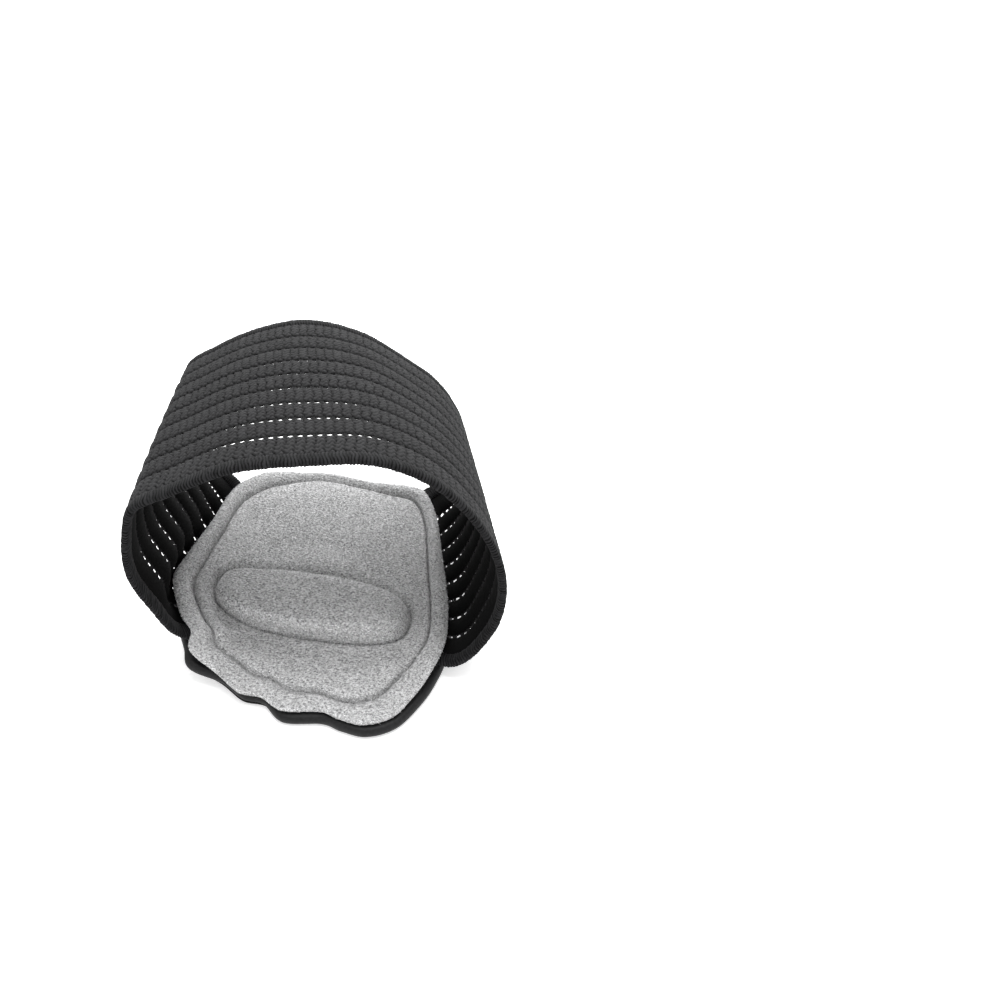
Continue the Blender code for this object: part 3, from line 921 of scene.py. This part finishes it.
def woven_material(name, low, high, sheen):
    """Spun yarn: fine fibres along the strands, uneven dye, and painted shade that darkens the
    grooves.
    """
    material, tree, shader = new_material(name)
    uv = tree.nodes.new("ShaderNodeTexCoord").outputs["UV"]
    fibre = add_noise(tree, uv, 2600.0, (0.6, 1.4, 1.0), 2.0)
    # The fibre noise is uneven dye; the relief attribute paints shade into the grooves.
    relief_shade = tree.nodes.new("ShaderNodeAttribute")
    relief_shade.attribute_name = "relief_shade"
    blend = tree.nodes.new("ShaderNodeMix")
    blend.inputs["Factor"].default_value = 0.65
    tree.links.new(fibre, blend.inputs["A"])
    tree.links.new(relief_shade.outputs["Fac"], blend.inputs["B"])
    colour = add_ramp(tree, blend.outputs["Result"], low, high, 0.48, 0.84)
    tree.links.new(colour, shader.inputs["Base Color"])
    shader.inputs["Roughness"].default_value = 0.85
    shader.inputs["Specular IOR Level"].default_value = 0.08
    shader.inputs["Sheen Weight"].default_value = sheen
    shader.inputs["Sheen Roughness"].default_value = 0.45
    add_bump(tree, shader, fibre, 0.35, 0.0002)
    return material


def thread_material(name, low, high):
    """Twisted thread that bridges the slits."""
    material, tree, shader = new_material(name)
    place = tree.nodes.new("ShaderNodeTexCoord").outputs["Object"]
    fibre = add_noise(tree, place, 2600.0)
    tree.links.new(add_ramp(tree, fibre, low, high, 0.35, 0.70), shader.inputs["Base Color"])
    shader.inputs["Roughness"].default_value = 0.85
    shader.inputs["Specular IOR Level"].default_value = 0.25
    add_bump(tree, shader, fibre, 0.4, 0.0002)
    return material


def plush_material(name, low, high, fine_scale):
    """Brushed pile: small light and dark clumps, a soft sheen and no gloss."""
    material, tree, shader = new_material(name)
    place = tree.nodes.new("ShaderNodeTexCoord").outputs["Object"]
    clumps = add_noise(tree, place, fine_scale, (0.8, 1.15, 1.15), 2.0)
    tree.links.new(add_ramp(tree, clumps, low, high, 0.34, 0.66), shader.inputs["Base Color"])
    shader.inputs["Roughness"].default_value = 0.95
    shader.inputs["Specular IOR Level"].default_value = 0.10
    shader.inputs["Sheen Weight"].default_value = 0.25
    shader.inputs["Sheen Roughness"].default_value = 0.5
    add_bump(tree, shader, clumps, 0.7, 0.0006)
    return material


def backing_material(name):
    """Smooth coated knit: near black, faint grain, soft highlight along the rim."""
    material, tree, shader = new_material(name)
    place = tree.nodes.new("ShaderNodeTexCoord").outputs["Object"]
    grain = add_noise(tree, place, 1500.0, (1.0, 1.0, 1.0), 4.0)
    tree.links.new(
        add_ramp(tree, grain, (0.006, 0.006, 0.006), (0.013, 0.013, 0.014), 0.3, 0.7),
        shader.inputs["Base Color"],
    )
    shader.inputs["Roughness"].default_value = 0.52
    shader.inputs["Specular IOR Level"].default_value = 0.20
    add_bump(tree, shader, grain, 0.25, 0.0002)
    return material


def foam_material(name):
    """Open-cell foam of the insert."""
    material, tree, shader = new_material(name)
    place = tree.nodes.new("ShaderNodeTexCoord").outputs["Object"]
    cells = tree.nodes.new("ShaderNodeTexVoronoi")
    cells.inputs["Scale"].default_value = 1400.0
    tree.links.new(place, cells.inputs["Vector"])
    low = (0.42, 0.42, 0.40)
    high = (0.72, 0.72, 0.69)
    colour = add_ramp(tree, cells.outputs["Distance"], low, high, 0.1, 0.6)
    tree.links.new(colour, shader.inputs["Base Color"])
    shader.inputs["Roughness"].default_value = 0.8
    add_bump(tree, shader, cells.outputs["Distance"], 0.5, 0.0003)
    return material


def build_stage():
    mesh = bpy.data.meshes.new("floor")
    size = 6.0
    mesh.from_pydata(
        [(-size, -size, 0), (size, -size, 0), (size, size, 0), (-size, size, 0)],
        [],
        [(0, 1, 2, 3)],
    )
    floor = bpy.data.objects.new("floor", mesh)
    bpy.context.scene.collection.objects.link(floor)
    material, _, shader = new_material("floor")
    shader.inputs["Base Color"].default_value = (0.85, 0.85, 0.85, 1.0)
    shader.inputs["Roughness"].default_value = 0.9
    shader.inputs["Emission Color"].default_value = (1.0, 1.0, 1.0, 1.0)
    shader.inputs["Emission Strength"].default_value = 0.45
    mesh.materials.append(material)


def build_light():
    world = bpy.data.worlds.new("studio")
    bpy.context.scene.world = world
    world.use_nodes = True
    background = world.node_tree.nodes["Background"]
    background.inputs["Color"].default_value = (1.0, 1.0, 1.0, 1.0)
    background.inputs["Strength"].default_value = 1.0
    lamps = (
        ("key", (0.10, 0.00, 0.80), 0.50, 5.0),
        ("rear", (0.00, 0.45, 0.70), 0.50, 4.5),
        ("back", (0.00, 0.75, 0.28), 0.50, 4.5),
    )
    for name, place, size, power in lamps:
        data = bpy.data.lights.new(name, "AREA")
        data.shape = "DISK"
        data.size = size
        data.energy = power
        lamp = bpy.data.objects.new(name, data)
        lamp.location = place
        lamp.rotation_euler = Vector(place).to_track_quat("Z", "Y").to_euler()
        bpy.context.scene.collection.objects.link(lamp)


def set_colours():
    """Plain colour transform, so that white cloth and floor keep their tone."""
    bpy.context.scene.view_settings.view_transform = "Standard"
    bpy.context.scene.view_settings.look = "None"


def build_camera():
    data = bpy.data.cameras.new("camera")
    data.sensor_width = 36.0
    data.lens = 36.0
    data.clip_start = 0.01
    camera = bpy.data.objects.new("camera", data)
    camera.location = (0.0442, -0.2070, 0.1946)
    camera.rotation_euler = (math.radians(90.0 - 37.0), 0.0, 0.0)
    bpy.context.scene.collection.objects.link(camera)
    bpy.context.scene.camera = camera


def main():
    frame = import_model()
    directions = pad_directions(2)
    fine = pad_directions(PLUSH_DIRECTIONS)

    weave = woven_material("woven_black", (0.002, 0.002, 0.002), (0.034, 0.034, 0.035), 0.03)
    # Darker copy of the band's cloth for its inner side: painted shade inside the loop.
    inside_shaded = woven_material("inside_shaded_black", (0.003, 0.003, 0.003), (0.008, 0.008, 0.008), 0.0)
    rim = woven_material("overlock_black", (0.002, 0.002, 0.002), (0.021, 0.021, 0.022), 0.03)
    thread = thread_material("bridge_black", (0.004, 0.004, 0.004), (0.018, 0.018, 0.019))
    plush = plush_material("plush_grey", (0.17, 0.17, 0.172), (0.64, 0.64, 0.644), 2000.0)
    pile = plush_material("pile_grey", (0.30, 0.30, 0.302), (0.92, 0.92, 0.925), 2400.0)
    smooth = backing_material("backing_black")

    groups = {
        "band_front": (0, 1, 2),
        "band_middle": (3, 4, 5),
        "band_rear": (6, 7, 8),
    }
    bands = []
    for name, indices in groups.items():
        bands.append(build_rib_group(directions, name, indices, weave, inside_shaded))
    bridges = build_bridges(directions, thread)
    front = build_edge(directions, "front_rim", 0.0, 7, rim)
    rear = build_edge(directions, "rear_rim", BAND_WIDTH - EDGE_WIDTH, 8, rim)
    pad, skin = build_plush(fine, plush)
    hairs = build_pile(skin, pile)
    sheet = build_backing(fine, smooth)

    for name, band in zip(groups, bands):
        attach(band, "root")
        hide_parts("elastic_band")
    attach(bridges, "root")
    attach(front, "root")
    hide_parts("front_edge")
    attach(rear, "root")
    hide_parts("rear_edge")
    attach(pad, "root")
    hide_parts("plush_cover")
    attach(hairs, "root")
    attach(sheet, "root")
    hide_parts("backing")

    insert = frame["nodes"]["arch_insert"]
    insert.data.materials.clear()
    insert.data.materials.append(foam_material("foam"))

    build_stage()
    build_light()
    build_camera()
    set_colours()


main()
